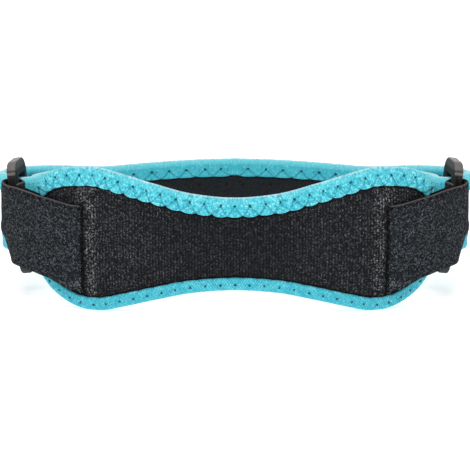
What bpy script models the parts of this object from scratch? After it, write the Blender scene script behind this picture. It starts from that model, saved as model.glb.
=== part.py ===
"""Patella strap: a padded front with a bound edge, a back band, and two hook-and-loop
straps that each run round the bar of a plastic ring. +X is the wearer's side to side,
the padded front faces -Y, and the loop stands on its lower edges at z = 0."""

import math

import bmesh
import bpy
from mathutils import Vector

MM = 0.001  # the sizes below are in millimetres

# Plan of the loop, along the middle of its walls
FRONT_HALF_WIDTH = 94.0
FRONT_DEPTH = 42.0
FRONT_SQUARENESS = 2.4
BACK_OUTSIDE_RING = 8.8  # how far its widest place lies outside the rings' middles
BACK_BEHIND_RING = 14.2  # and how far behind them
BACK_DEPTH = 29.0
BACK_SQUARENESS = 2.3

# Front pad
PAD_HALF_LENGTH = 95.0
PAD_HEIGHT = 62.1
PAD_THICKNESS = 7.0
PAD_EDGE_THICKNESS = 2.2
PAD_FILL_RUN = 26.0
PAD_CORE_END = 22.0
PAD_CROWN_ROWS = (0.35, 0.70, 0.93)  # shares of the way from the binding to the middle

# Cloth binding, folded over the edges of the pad and of the band
BINDING_WALL = 1.0
FRONT_BINDING_TOP_WIDTH = 7.7
FRONT_BINDING_LOW_WIDTH = 5.9
BACK_BINDING_WIDTH = 8.0
BINDING_EDGE_FLAT = 2.4
BINDING_SHOULDER = 1.1
BINDING_ROUNDING = 0.2
BINDING_CLEAR = 0.5  # from the binding's inner edge to the next row of the body under it

# Back band
BAND_HEIGHT = 51.8
BAND_THICKNESS = 2.4
BAND_FOLD_BACK = 25.0
BAND_FOLD_DROP = 1.6
BAND_TAIL_RADIUS = 24.0
BAND_END_CORNER = 10.5
BAND_NEAR_RING = 0.8  # share of the run from which the band narrows to the slot
BAND_WRAP = (-10.0, -180.0)  # degrees round the rear bar

# Hook-and-loop straps
STRAP_WIDTH = 37.5
STRAP_THICKNESS = 1.8
STRAP_SEWN_LENGTH = 12.0
STRAP_FREE_END = 30.3
STRAP_DROP = 5.0
STRAP_SETTLE = 8.0
STRAP_BULGE = 3.4
STRAP_GATHER = 2.6  # how far its lower edge is drawn up at the ring
STRAP_GATHER_RUN = 12.0
STRAP_WRAP = (188.0, -12.0)  # degrees round the front bar

# Plastic rings
RING_BAR = 4.4
RING_END_BAR = 6.5  # how thick the short bars are, above and below the slot
RING_BAR_CORNER = 0.9
RING_DEPTH = 20.4
RING_CORNER = 5.6
RING_SLOT_CLEARANCE = 1.1
RING_OUTSIDE_PAD = 4.6  # from the pad's end to the ring's middle, outwards
RING_BEHIND_PAD = 17.5  # and backwards
RING_MID_HEIGHT = 33.9
RING_TILT = math.radians(6.7)
RING_YAW = math.radians(7.0)
SLOT_SEAT = 0.95  # from the slot's lower side up to the cloth in it

# Where the tilt of the rings has died out of the cloth, in front and behind
LEAN_FRONT_Y = 27.0
LEAN_BACK_Y = 20.0

GAP = 0.3  # clearance between two pieces that touch
BAR_EASE = 0.4  # the same round a ring's bar
BAND_EASE = 0.45  # the same inside the band's binding, which turns tightly with the band
REST_FLAT = 0.3  # how far the lowest cloth edges are pressed flat

# Edge of the front pad, from the middle of the top round the end to the middle of
# the bottom: along is a share of the half length, height a share of the pad height
PAD_OUTLINE = (
    # along, height
    (0.000, 0.812),
    (0.190, 0.838),
    (0.342, 0.896),
    (0.474, 0.952),
    (0.605, 1.000),
    (0.705, 0.999),
    (0.800, 0.978),
    (0.880, 0.926),
    (0.950, 0.810),
    (1.000, 0.570),
    (0.955, 0.340),
    (0.880, 0.176),
    (0.800, 0.078),
    (0.705, 0.016),
    (0.605, 0.004),
    (0.474, 0.050),
    (0.342, 0.100),
    (0.190, 0.148),
    (0.000, 0.168),
)
PAD_END_ROW = 9

# Edges of the back band: along is a share of its run from the middle of the back to
# the ring, top and bottom are shares of the band height
BAND_EDGES = (
    # along, top, bottom
    (0.00, 1.000, 0.000),
    (0.15, 0.990, 0.000),
    (0.32, 0.968, 0.020),
    (0.50, 0.944, 0.090),
    (0.68, 0.972, 0.180),
    (0.84, 0.990, 0.235),
    (1.00, 1.005, 0.281),
)

# How far the loose outer turn of a strap stands off its ring bar: up is a share of the
# strap width from its lower edge, bulge a share of STRAP_BULGE
STRAP_ROWS = (
    # up, bulge
    (0.00, 0.05),
    (0.19, 0.50),
    (0.31, 0.66),
    (0.40, 1.00),
    (0.56, 0.74),
    (0.79, 0.42),
    (1.00, 0.05),
)

COLOURS = {
    # piece: colour, roughness
    "front_pad": ((0.017, 0.017, 0.019, 1.0), 0.90),
    "front_binding": ((0.085, 0.630, 0.740, 1.0), 0.75),
    "back_band": ((0.013, 0.013, 0.015, 1.0), 0.90),
    "back_binding": ((0.085, 0.630, 0.740, 1.0), 0.75),
    "strap": ((0.021, 0.023, 0.025, 1.0), 0.95),
    "ring": ((0.030, 0.029, 0.030, 1.0), 0.42),
}

STEP_LIMIT = 8.0  # longest step along a curve
TURN_LIMIT = math.radians(9.5)  # largest turn in one step
LINK_PULL = 0.42  # fullness of the link between two stretches of a curve
LINK_STEPS = 10
WRAP_STEPS = 20
CORNER_STEPS = 4
QUARTER_STEPS = 1500


def spline(points, per_span):
    """Points of a smooth curve through the given ones, per_span steps for each span."""
    ends = [2 * points[0] - points[1]] + list(points) + [2 * points[-1] - points[-2]]
    curve = []
    for before, a, b, after in zip(ends, ends[1:], ends[2:], ends[3:]):
        for step in range(per_span):
            t = step / per_span
            curve.append(
                0.5 * (2 * a + (b - before) * t + (2 * before - 5 * a + 4 * b - after) * t**2
                       + (3 * a - before - 3 * b + after) * t**3)
            )
    curve.append(points[-1].copy())
    return curve


def table_value(rows, column, share):
    """A column of a table at a share between its rows, on a smooth curve."""
    share = min(max(share, rows[0][0]), rows[-1][0])
    index = max(i for i, row in enumerate(rows[:-1]) if row[0] <= share)

    def slope(i):
        low, high = max(i - 1, 0), min(i + 1, len(rows) - 1)
        return (rows[high][column] - rows[low][column]) / (rows[high][0] - rows[low][0])

    span = rows[index + 1][0] - rows[index][0]
    t = (share - rows[index][0]) / span
    start, end = rows[index][column], rows[index + 1][column]
    return (start * (1 + 2 * t) * (1 - t) ** 2 + end * t * t * (3 - 2 * t)
            + span * (slope(index) * t * (1 - t) ** 2 - slope(index + 1) * t * t * (1 - t)))


def smooth_step(value):
    value = min(max(value, 0.0), 1.0)
    return value * value * (3 - 2 * value)


class PlanPath:
    """A curve in plan with its length and its outward normal, mirrored for s < 0."""

    def __init__(self, points, outward):
        self.points = points
        self.lengths = [0.0]
        for a, b in zip(points, points[1:]):
            self.lengths.append(self.lengths[-1] + (b - a).length)
        self.total = self.lengths[-1]
        self.normals = []
        for i in range(len(points)):
            along = points[min(i + 1, len(points) - 1)] - points[max(i - 1, 0)]
            self.normals.append(Vector((along.y, -along.x)).normalized() * outward)

    def at(self, s, offset=0.0):
        """The point at length s, moved outwards by offset."""
        side = -1.0 if s < 0 else 1.0
        s = min(abs(s), self.total)
        i = min(max(k for k, length in enumerate(self.lengths) if length <= s), len(self.points) - 2)
        t = (s - self.lengths[i]) / (self.lengths[i + 1] - self.lengths[i])
        point = self.points[i].lerp(self.points[i + 1], t)
        point = point + self.normals[i].lerp(self.normals[i + 1], t).normalized() * offset
        return Vector((point.x * side, point.y))

    def stations(self, start, end):
        """Lengths from start to end, closer together where the curve turns."""
        chosen = [start]
        turned, last = 0.0, None
        for length, normal in zip(self.lengths, self.normals):
            if not start < length < end:
                continue
            turned += normal.angle(last) if last else 0.0
            last = normal
            if turned >= TURN_LIMIT or length - chosen[-1] >= STEP_LIMIT:
                chosen.append(length)
                turned = 0.0
        if end - chosen[-1] < 1.0 and len(chosen) > 1:
            chosen.pop()
        return chosen + [end]


def even_quarter(half_width, depth, centre_y, squareness):
    """A quarter of a superellipse, from the middle (x = 0) out to its side, with points
    a millimetre or so apart."""
    points = []
    for step in range(QUARTER_STEPS + 1):
        angle = math.pi / 2 * step / QUARTER_STEPS
        across = half_width * math.sin(angle) ** (2 / squareness)
        back = depth * max(math.cos(angle), 0.0) ** (2 / squareness)
        points.append(Vector((across, centre_y + back)))
    fine = PlanPath(points, 1.0)
    count = int(fine.total)
    return [fine.at(fine.total * k / count) for k in range(count + 1)]


def ring_middle(front):
    """Plan place of the right ring's middle, set off from the end of the front pad."""
    return front.at(PAD_HALF_LENGTH) + Vector((RING_OUTSIDE_PAD, RING_BEHIND_PAD))


def bar_centre(front, which):
    """Plan place of a ring's front (-1) or rear (+1) bar at the ring's middle height."""
    reach = (RING_DEPTH - RING_BAR) / 2
    turned = Vector((-math.sin(RING_YAW), math.cos(RING_YAW)))
    return ring_middle(front) + which * reach * turned


def bar_clear_radius():
    """Radius round a bar's axis that clears its rounded square section."""
    flat = RING_BAR / 2 - RING_BAR_CORNER
    return math.sqrt(2) * flat + RING_BAR_CORNER + BAR_EASE


def joined(*stretches):
    """The stretches of a curve end to end, with a smooth link across each gap."""
    line = list(stretches[0])
    for following in stretches[1:]:
        a, b = line[-1], following[0]
        pull = (b - a).length * LINK_PULL
        after = a + (a - line[-2]).normalized() * pull
        before = b - (following[1] - b).normalized() * pull
        for step in range(1, LINK_STEPS):
            t = step / LINK_STEPS
            line.append(a * (1 - t) ** 3 + after * 3 * t * (1 - t) ** 2
                        + before * 3 * t * t * (1 - t) + b * t**3)
        line += following
    return line


def arc(centre, radius, first_degrees, last_degrees, steps):
    return [
        centre + radius * Vector((math.cos(a), math.sin(a)))
        for a in (
            math.radians(first_degrees + (last_degrees - first_degrees) * k / steps)
            for k in range(steps + 1)
        )
    ]


def lean(point):
    """Lean the cloth near the rings to the rings' own tilt."""
    x, y, z = point
    fade = LEAN_BACK_Y if y > 0 else LEAN_FRONT_Y
    flat = RING_DEPTH / 2
    share = 1.0 - smooth_step((abs(y) - flat) / (fade - flat))
    if abs(x) < FRONT_HALF_WIDTH / 2:
        share = 0.0
    shift = math.tan(RING_TILT) * (z - RING_MID_HEIGHT) * share
    return Vector((x + math.copysign(1.0, x) * shift, y, z))


def bend(path, s, z, offset):
    """A point of a flat pattern, at length s and height z, wrapped on the plan path."""
    plan = path.at(s, offset)
    return lean(Vector((plan.x, plan.y, z)))


def pillow(share):
    """Half of the pad's thickness at a share of the way from its edge to its middle."""
    crown = 1.0 - (1.0 - min(max(share, 0.0), 1.0)) ** 2
    return (PAD_EDGE_THICKNESS + (PAD_THICKNESS - PAD_EDGE_THICKNESS) * crown) / 2


def pad_half(distance):
    return pillow(distance / PAD_FILL_RUN)


def band_half(distance):
    return BAND_THICKNESS / 2


class Outline:
    """A closed edge in the flat pattern, from the middle of the top round the right
    end. The four stretches between the middles and the ends have as many points."""

    def __init__(self, top, bottom, core_end):
        m = len(top) - 1
        right = top + bottom[-2::-1]
        left = [Vector((-p.x, p.y)) for p in right[-2:0:-1]]
        self.quarter = m
        self.edge = [Vector((p.x, max(p.y, REST_FLAT) - REST_FLAT)) for p in right + left]
        self.count = len(self.edge)
        self.inward = []
        for i in range(self.count):
            along = self.edge[(i + 1) % self.count] - self.edge[i - 1]
            self.inward.append(Vector((along.y, -along.x)).normalized())
        self.middle = []
        for i in range(self.count):
            pair = self.edge[(2 * m - i) % self.count]
            mid = (self.edge[i] + pair) / 2
            reach = self.edge[m].x - core_end
            self.middle.append(Vector((min(max(mid.x, -reach), reach), mid.y)))

    def inset(self, distance):
        return [p + n * distance for p, n in zip(self.edge, self.inward)]

    def widths(self, top, low):
        """A width for each point, from the one on the top edge to the one on the low."""
        return [low + (top - low) * (1 - n.y) / 2 for n in self.inward]


def pad_outline():
    rows = [Vector((along * PAD_HALF_LENGTH, height * PAD_HEIGHT)) for along, height in PAD_OUTLINE]
    mirror_first = Vector((-rows[1].x, rows[1].y))
    mirror_last = Vector((-rows[-2].x, rows[-2].y))
    curve = spline([mirror_first] + rows + [mirror_last], 2)[2:-2]
    end = PAD_END_ROW * 2
    return Outline(curve[: end + 1], curve[end:][::-1], PAD_CORE_END)


def band_outline(path, run):
    """The band's edge: both long edges, and an end with two rounded corners."""
    end = path.total

    def heights(s):
        share = s / run
        fold = min(max((s - run) / (end - run), 0.0), 1.0)
        low = SLOT_SEAT + RING_MID_HEIGHT - slot_height() / 2
        top = table_value(BAND_EDGES, 1, share) * BAND_HEIGHT
        bottom = table_value(BAND_EDGES, 2, share) * BAND_HEIGHT
        near_ring = smooth_step((share - BAND_NEAR_RING) / (1 - BAND_NEAR_RING))
        top += (low + STRAP_WIDTH - STRAP_GATHER - top) * near_ring
        bottom += (low - bottom) * near_ring
        return top - BAND_FOLD_DROP * fold, bottom

    corner = BAND_END_CORNER
    places = path.stations(0.0, end - corner)
    top = [Vector((s, heights(s)[0])) for s in places]
    bottom = [Vector((s, heights(s)[1])) for s in places]
    high, low = heights(end)
    for k in range(1, CORNER_STEPS + 1):
        turn = math.radians(90 * k / CORNER_STEPS)
        across = end - corner + corner * math.sin(turn)
        drop = corner * (1 - math.cos(turn))
        top.append(Vector((across, heights(across)[0] - drop)))
        bottom.append(Vector((across, heights(across)[1] + drop)))
    middle = Vector((end, (high + low) / 2))
    return Outline(top + [middle], bottom + [middle], corner + BINDING_WALL)


def new_object(name, mesh_maker, finish):
    mesh = bpy.data.meshes.new(name)
    bm = bmesh.new()
    mesh_maker(bm)
    bmesh.ops.recalc_face_normals(bm, faces=bm.faces)
    bm.to_mesh(mesh)
    bm.free()
    mesh.shade_smooth()
    mesh.set_sharp_from_angle(angle=math.radians(40))
    obj = bpy.data.objects.new(name, mesh)
    bpy.context.scene.collection.objects.link(obj)
    colour, roughness = COLOURS[finish]
    material = bpy.data.materials.new(name)
    material.use_nodes = True
    shader = material.node_tree.nodes["Principled BSDF"]
    shader.inputs["Base Color"].default_value = colour
    shader.inputs["Roughness"].default_value = roughness
    shader.inputs["Metallic"].default_value = 0.0
    mesh.materials.append(material)
    return obj


def ring_of_verts(bm, points):
    return [bm.verts.new(p * MM) for p in points]


def skin(bm, first, second):
    """Quads between two closed rows of as many vertices."""
    for i in range(len(first)):
        j = (i + 1) % len(first)
        bm.faces.new((first[i], first[j], second[j], second[i]))


def bound_body(bm, path, outline, insets, half_at, crown_rows):
    """A closed body inside an outline: rows at the inset distances, then rows that run
    to the middle line, on both faces. crown_rows hold (share to the middle, half)."""
    sides = []
    for side in (1.0, -1.0):
        rows = []
        for distance in insets:
            flat = outline.inset(distance)
            rows.append(ring_of_verts(bm, [bend(path, p.x, p.y, side * half_at(distance)) for p in flat]))
        core = outline.inset(insets[-1])
        for share, half in crown_rows:
            flat = [p.lerp(mid, share) for p, mid in zip(core, outline.middle)]
            rows.append(ring_of_verts(bm, [bend(path, p.x, p.y, side * half) for p in flat]))
        for outer, inner in zip(rows, rows[1:]):
            skin(bm, outer, inner)
        m, last = outline.quarter, rows[-1]
        for i in range(m - 1):
            for near, far, end in ((i, i + 1, m), (-i, -i - 1, -m)):
                tip = [last[end]] if i == m - 2 else []
                bm.faces.new([last[near], last[far], *tip, last[2 * m - far], last[2 * m - near]])
        sides.append(rows[0])
    skin(bm, sides[0], sides[1])


def channel(bm, path, outline, widths, half_at, ease, face_rows):
    """The binding: a U section whose legs lie on both faces, run round the outline."""
    cover = ease + BINDING_WALL
    section = [("leg", share, cover) for share in face_rows]
    section += [("wall", BINDING_SHOULDER, cover - BINDING_ROUNDING), ("edge", 0.0, 0.0)]
    outer = [(kind, where, raised, 1.0) for kind, where, raised in section]
    hollow = [("leg", share, ease, 1.0) for share in face_rows] + [("wall", BINDING_WALL, ease, 1.0)]
    half_loop = [outer, hollow[::-1]]
    turned = [[(*row[:3], -1.0) for row in rows] for rows in half_loop]
    order = outer + turned[0][::-1] + turned[1][::-1] + half_loop[1]
    rows = []
    for kind, where, raised, side in order:
        row = []
        for edge, inward, width in zip(outline.edge, outline.inward, widths):
            distance = width * where if kind == "leg" else where
            flat = edge + inward * distance
            offset = BINDING_EDGE_FLAT / 2 if kind == "edge" else half_at(distance) + raised
            row.append(bend(path, flat.x, flat.y, side * offset))
        rows.append(ring_of_verts(bm, row))
    for first, second in zip(rows, rows[1:] + rows[:1]):
        skin(bm, first, second)


def slot_height():
    return STRAP_WIDTH - STRAP_GATHER + 2 * RING_SLOT_CLEARANCE


def ring_mesh(bm):
    """A rounded bar run round a rounded rectangle, in its own YZ plane, thicker at its
    two short ends."""
    half_y = (RING_DEPTH - RING_BAR) / 2
    half_z = (slot_height() + RING_BAR) / 2
    radius = RING_CORNER - RING_BAR / 2
    centreline = []
    for sign_y, sign_z, first in ((1, 1, 0), (-1, 1, 90), (-1, -1, 180), (1, -1, 270)):
        centre = Vector((sign_y * (half_y - radius), sign_z * (half_z - radius)))
        for k in range(CORNER_STEPS + 1):
            centreline.append((centre, math.radians(first + 90 * k / CORNER_STEPS)))
    flat = RING_BAR / 2 - RING_BAR_CORNER
    section = []
    for sign_out, sign_x, first in ((1, 1, 0), (-1, 1, 90), (-1, -1, 180), (1, -1, 270)):
        for k in range(3):
            a = math.radians(first + 45 * k)
            section.append((
                sign_out * flat + RING_BAR_CORNER * math.cos(a),
                sign_x * flat + RING_BAR_CORNER * math.sin(a),
            ))
    rows = []
    for centre, angle in centreline:
        outwards = Vector((math.cos(angle), math.sin(angle)))
        row = []
        for out, across in section:
            thicker = (RING_END_BAR - RING_BAR) * abs(math.sin(angle)) if out > 0 else 0.0
            place = centre + outwards * (radius + out + thicker)
            row.append(Vector((across, place.x, place.y)))
        rows.append(ring_of_verts(bm, row))
    for first, second in zip(rows, rows[1:] + rows[:1]):
        skin(bm, first, second)


def strap_route(front):
    """The strap's middle line at the rings' middle height: sewn on the pad's end, round
    the front bar of the ring and back over itself to the free end. Each point has its
    plan place, the height of the strap's middle, its share of the bulge and how far the
    lower edge is drawn up."""
    over_binding = pad_half(FRONT_BINDING_TOP_WIDTH) + GAP + BINDING_WALL
    seat = max(over_binding, PAD_THICKNESS / 2) + GAP + STRAP_THICKNESS / 2
    second = seat + STRAP_THICKNESS + 2 * GAP
    radius = bar_clear_radius() + STRAP_THICKNESS / 2
    at_slot = RING_MID_HEIGHT - slot_height() / 2 + SLOT_SEAT - STRAP_GATHER + STRAP_WIDTH / 2
    sewn = PAD_HALF_LENGTH - STRAP_SEWN_LENGTH
    free = PAD_HALF_LENGTH - STRAP_FREE_END
    inner = [front.at(sewn + k, seat) for k in range(int(STRAP_SEWN_LENGTH))]
    bar = bar_centre(front, -1)
    wrap = arc(bar, radius, *STRAP_WRAP, WRAP_STEPS)
    outer = [front.at(PAD_HALF_LENGTH - k, second) for k in range(int(STRAP_SEWN_LENGTH) + 2)]
    settle = sewn - STRAP_SETTLE
    steps = int(settle - free)
    settled = [front.at(settle + (free - settle) * k / steps, seat) for k in range(steps + 1)]
    route = PlanPath(joined(inner, wrap, outer, settled), 1.0)
    turn_start = route.lengths[len(inner) + LINK_STEPS + len(wrap) // 3]
    on_pad = route.lengths[len(inner) + len(wrap) + 2 * LINK_STEPS - 2]
    rows = []
    for s in route.stations(0.0, route.total):
        along = (s - turn_start) / (on_pad - turn_start)
        bulge = math.sin(math.pi * min(max(along, 0.0), 1.0)) ** 2
        behind = bar.x - route.at(s).x
        drop = STRAP_DROP * smooth_step(behind / (bar.x - settled[-1].x))
        gather = STRAP_GATHER * (1 - smooth_step(behind / STRAP_GATHER_RUN - 1))
        rows.append((s, at_slot - drop, bulge, gather))
    return route, rows


def strap_mesh(bm, front, side):
    route, rows = strap_route(front)
    loops = []
    for s, middle, bulge, gather in rows:
        loop = []
        for face in (1.0, -1.0):
            plan = route.at(s, face * STRAP_THICKNESS / 2)
            table = STRAP_ROWS if face > 0 else STRAP_ROWS[::-1]
            for up, stand_off in table:
                z = middle + (up - 0.5) * STRAP_WIDTH + gather * (1 - up) ** 2
                point = lean(Vector((plan.x + STRAP_BULGE * bulge * stand_off, plan.y, z)))
                loop.append(Vector((point.x * side, point.y, point.z)))
        loops.append(ring_of_verts(bm, loop))
    for first, second in zip(loops, loops[1:]):
        skin(bm, first, second)
    for loop in (loops[0], loops[-1]):
        half = len(loop) // 2
        for i in range(half - 1):
            bm.faces.new((loop[i], loop[i + 1], loop[-2 - i], loop[-1 - i]))


def front_path():
    points = even_quarter(FRONT_HALF_WIDTH, FRONT_DEPTH, 0.0, FRONT_SQUARENESS)
    return PlanPath([Vector((p.x, -p.y)) for p in points], 1.0)


def back_path(front):
    """From the middle of the back to the ring, round its rear bar, and back along the
    inside of the band. Returns the path and its run up to the ring."""
    reach = band_half(0.0) + BAND_EASE + BINDING_WALL
    radius = bar_clear_radius() + reach
    bar = bar_centre(front, 1)
    widest = ring_middle(front) + Vector((BACK_OUTSIDE_RING, BACK_BEHIND_RING))
    main = even_quarter(widest.x, BACK_DEPTH, widest.y, BACK_SQUARENESS)
    wrap = arc(bar, radius, *BAND_WRAP, WRAP_STEPS)
    tail_centre = bar - Vector((radius + BAND_TAIL_RADIUS, 0.0))
    tail_turn = math.degrees(BAND_FOLD_BACK / BAND_TAIL_RADIUS)
    tail = arc(tail_centre, BAND_TAIL_RADIUS, 0, tail_turn, int(BAND_FOLD_BACK))
    path = PlanPath(joined(main, wrap) + tail[1:], -1.0)
    return path, path.lengths[len(main) + LINK_STEPS - 1]


def build():
    for obj in list(bpy.data.objects):
        bpy.data.objects.remove(obj)

    front = front_path()
    back, run = back_path(front)
    edge_of_pad = pad_outline()
    edge_of_band = band_outline(back, run)
    start = BINDING_WALL + GAP

    pad_insets = (start, FRONT_BINDING_TOP_WIDTH / 2, FRONT_BINDING_TOP_WIDTH + BINDING_CLEAR)
    reached = pad_insets[-1] / PAD_FILL_RUN
    crown = [(share, pillow(reached + (1 - reached) * share)) for share in PAD_CROWN_ROWS]
    band_insets = (start, BACK_BINDING_WIDTH + BINDING_CLEAR)
    front_widths = edge_of_pad.widths(FRONT_BINDING_TOP_WIDTH, FRONT_BINDING_LOW_WIDTH)
    back_widths = edge_of_band.widths(BACK_BINDING_WIDTH, BACK_BINDING_WIDTH)

    def front_pad(bm):
        bound_body(bm, front, edge_of_pad, pad_insets, pad_half, crown)

    def front_binding(bm):
        channel(bm, front, edge_of_pad, front_widths, pad_half, GAP, (1.0, 0.5))

    def back_band(bm):
        bound_body(bm, back, edge_of_band, band_insets, band_half, [])

    def back_binding(bm):
        channel(bm, back, edge_of_band, back_widths, band_half, BAND_EASE, (1.0,))

    for maker in (front_pad, front_binding, back_band, back_binding):
        new_object(maker.__name__, maker, maker.__name__)
    for side, word in ((-1.0, "left"), (1.0, "right")):
        new_object(f"{word}_strap", lambda bm: strap_mesh(bm, front, side), "strap")
        ring = new_object(f"{word}_ring", ring_mesh, "ring")
        ring.rotation_mode = "XZY"
        ring.rotation_euler = (0.0, side * RING_TILT, side * RING_YAW)
        place = ring_middle(front)
        ring.location = Vector((side * place.x, place.y, RING_MID_HEIGHT)) * MM


build()
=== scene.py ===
import math

import bmesh
import bpy
import numpy as np
from mathutils import Matrix, Vector, noise


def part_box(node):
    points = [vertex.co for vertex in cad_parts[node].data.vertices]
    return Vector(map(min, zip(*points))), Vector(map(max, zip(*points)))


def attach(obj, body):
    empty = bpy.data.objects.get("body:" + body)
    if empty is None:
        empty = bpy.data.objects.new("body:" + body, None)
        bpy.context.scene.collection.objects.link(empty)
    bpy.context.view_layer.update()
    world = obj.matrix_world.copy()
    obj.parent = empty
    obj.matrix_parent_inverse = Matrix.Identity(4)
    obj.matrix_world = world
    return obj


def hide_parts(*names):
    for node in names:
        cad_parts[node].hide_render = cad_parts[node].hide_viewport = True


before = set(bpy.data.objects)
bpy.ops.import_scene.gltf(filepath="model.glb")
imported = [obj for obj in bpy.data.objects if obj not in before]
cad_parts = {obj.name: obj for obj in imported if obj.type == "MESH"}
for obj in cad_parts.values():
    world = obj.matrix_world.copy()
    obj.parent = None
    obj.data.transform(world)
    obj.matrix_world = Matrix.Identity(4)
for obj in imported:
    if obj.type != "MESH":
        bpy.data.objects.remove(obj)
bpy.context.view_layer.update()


# The padded front: a foam core with black ribbed knit drawn over both faces. It is cut as a
# long dumbbell, curves round the front of the knee, and is thickest away from its edge.
MM = 0.001
FRONT_HALF_WIDTH = 94.0
FRONT_DEPTH = 42.0
FRONT_SQUARENESS = 2.4
PAD_HALF_LENGTH = 95.0
PAD_HEIGHT = 62.1
PAD_THICKNESS = 7.0
PAD_EDGE_THICKNESS = 2.2
PAD_FILL_RUN = 26.0
PRESSED_FLAT = 0.3
RIB_PITCH = 1.25
RIB_DEPTH = 0.1
STRAP_END_RUN = 64.7
STRAP_END_TOP = 47.0
FRONT_TOP_WIDTH = 7.7
FRONT_LOW_WIDTH = 5.9
PAD_OUTLINE = np.array([
    # along, height: shares of the half length and of the height, from the top's middle to the bottom's
    (0.000, 0.812), (0.190, 0.838), (0.342, 0.896), (0.474, 0.952), (0.605, 1.000),
    (0.705, 0.999), (0.800, 0.978), (0.880, 0.926), (0.950, 0.810), (1.000, 0.570),
    (0.955, 0.340), (0.880, 0.176), (0.800, 0.078), (0.705, 0.016), (0.605, 0.004),
    (0.474, 0.050), (0.342, 0.100), (0.190, 0.148), (0.000, 0.168),
])

# The rings lean outwards at the top, and the cloth near them leans with them.
ring_low, ring_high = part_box("right_ring")
RING_X, RING_Y, RING_Z = (Vector(ring_low) + Vector(ring_high)) / 2 / MM
RING_TILT = math.radians(6.7)
RING_YAW = math.radians(7.0)
RING_DEPTH = 20.4
RING_BAR = 4.4
RING_BAR_CORNER = 0.9
LEAN_FRONT_Y = 27.0
LEAN_BACK_Y = 20.0


def ease(share):
    share = np.clip(share, 0.0, 1.0)
    return share * share * (3 - 2 * share)


def lean(points):
    """Points that lean with the rings where they are near them."""
    x, y, z = points[..., 0], points[..., 1], points[..., 2]
    reach = np.where(y > 0, LEAN_BACK_Y, LEAN_FRONT_Y) - RING_DEPTH / 2
    share = 1 - ease((np.abs(y) - RING_DEPTH / 2) / reach)
    share = np.where(np.abs(x) < FRONT_HALF_WIDTH / 2, 0.0, share)
    shift = math.tan(RING_TILT) * (z - RING_Z) * share
    return np.stack([x + np.sign(x) * shift, y, z], -1)


class Plan:
    """A line in plan, read by its run from the middle of the strap; the left half mirrors it."""

    def __init__(self, points, outwards):
        self.points = points = np.asarray(points, float)
        steps = np.hypot(*np.diff(points, axis=0).T)
        self.run = np.concatenate([[0.0], np.cumsum(steps)])
        self.length = self.run[-1]
        along = np.gradient(points, self.run, axis=0)
        along /= np.linalg.norm(along, axis=1)[:, None]
        self.normals = np.stack([along[:, 1], -along[:, 0]], -1) * outwards

    def flat(self, run, off):
        """Plan points of the right half, off millimetres outside the line."""
        place = [np.interp(run, self.run, c) for c in self.points.T]
        normal = [np.interp(run, self.run, c) for c in self.normals.T]
        size = np.hypot(*normal)
        return place[0] + normal[0] / size * off, place[1] + normal[1] / size * off

    def wrap(self, run, height, off):
        """Points of a flat pattern bent to the line, in millimetres."""
        x, y = self.flat(np.abs(run), off)
        return lean(np.stack([np.where(run < 0, -x, x), y, height + 0 * x], -1))


def oval_quarter(half_width, depth, middle_y, squareness):
    """A quarter of a squarish oval in plan, from its middle to its side."""
    angle = np.linspace(0.0, math.pi / 2, 1501)
    x = half_width * np.sin(angle) ** (2 / squareness)
    y = depth * np.clip(np.cos(angle), 0, 1) ** (2 / squareness)
    return np.stack([x, middle_y + y], -1)


class Edge:
    """The cut edge of a flat pattern, read by its run from the middle of its top."""

    def __init__(self, points):
        points = np.vstack([points, points[:1]])
        steps = np.hypot(*np.diff(points, axis=0).T)
        run = np.concatenate([[0.0], np.cumsum(steps)])
        self.length = run[-1]
        self.run = np.linspace(0.0, self.length, 3001)
        self.points = np.stack([np.interp(self.run, run, c) for c in points.T], -1)
        ahead, behind = np.roll(self.points[:-1], -6, 0), np.roll(self.points[:-1], 6, 0)
        along = ahead - behind
        inwards = np.stack([along[:, 1], -along[:, 0]], -1)
        inwards /= np.linalg.norm(inwards, axis=1)[:, None]
        self.inwards = np.vstack([inwards, inwards[:1]])

    def normal(self, run):
        parts = [np.interp(run % self.length, self.run, c) for c in self.inwards.T]
        size = np.hypot(*parts)
        return parts[0] / size, parts[1] / size

    def at(self, run, inset):
        across, down = self.normal(run)
        along = np.interp(run % self.length, self.run, self.points[:, 0])
        height = np.interp(run % self.length, self.run, self.points[:, 1])
        return along + across * inset, height + down * inset


def through(points, steps):
    """A smooth line through points, steps to a span, without its first and last spans."""
    line = []
    for before, a, b, after in zip(points, points[1:], points[2:], points[3:]):
        for t in np.arange(steps) / steps:
            line.append(0.5 * (2 * a + (b - before) * t + (2 * before - 5 * a + 4 * b - after) * t**2
                               + (3 * a - before - 3 * b + after) * t**3))
    return np.array(line + [points[-2]])


def whole_edge(right):
    """Both halves of an edge, from its right half."""
    left = right[-2:0:-1] * (-1.0, 1.0)
    edge = np.vstack([right, left])
    edge[:, 1] = np.maximum(edge[:, 1], PRESSED_FLAT) - PRESSED_FLAT
    return edge


def pad_half(inset):
    """Half the pad's thickness, that far in from its edge."""
    crown = 1 - (1 - np.clip(inset / PAD_FILL_RUN, 0, 1)) ** 2
    return (PAD_EDGE_THICKNESS + (PAD_THICKNESS - PAD_EDGE_THICKNESS) * crown) / 2


def end_editing():
    """Turns every face of the mesh in edit mode outwards, and goes back to object mode."""
    bpy.ops.mesh.select_all(action="SELECT")
    bpy.ops.mesh.normals_make_consistent(inside=False)
    bpy.ops.object.mode_set(mode="OBJECT")


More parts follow.
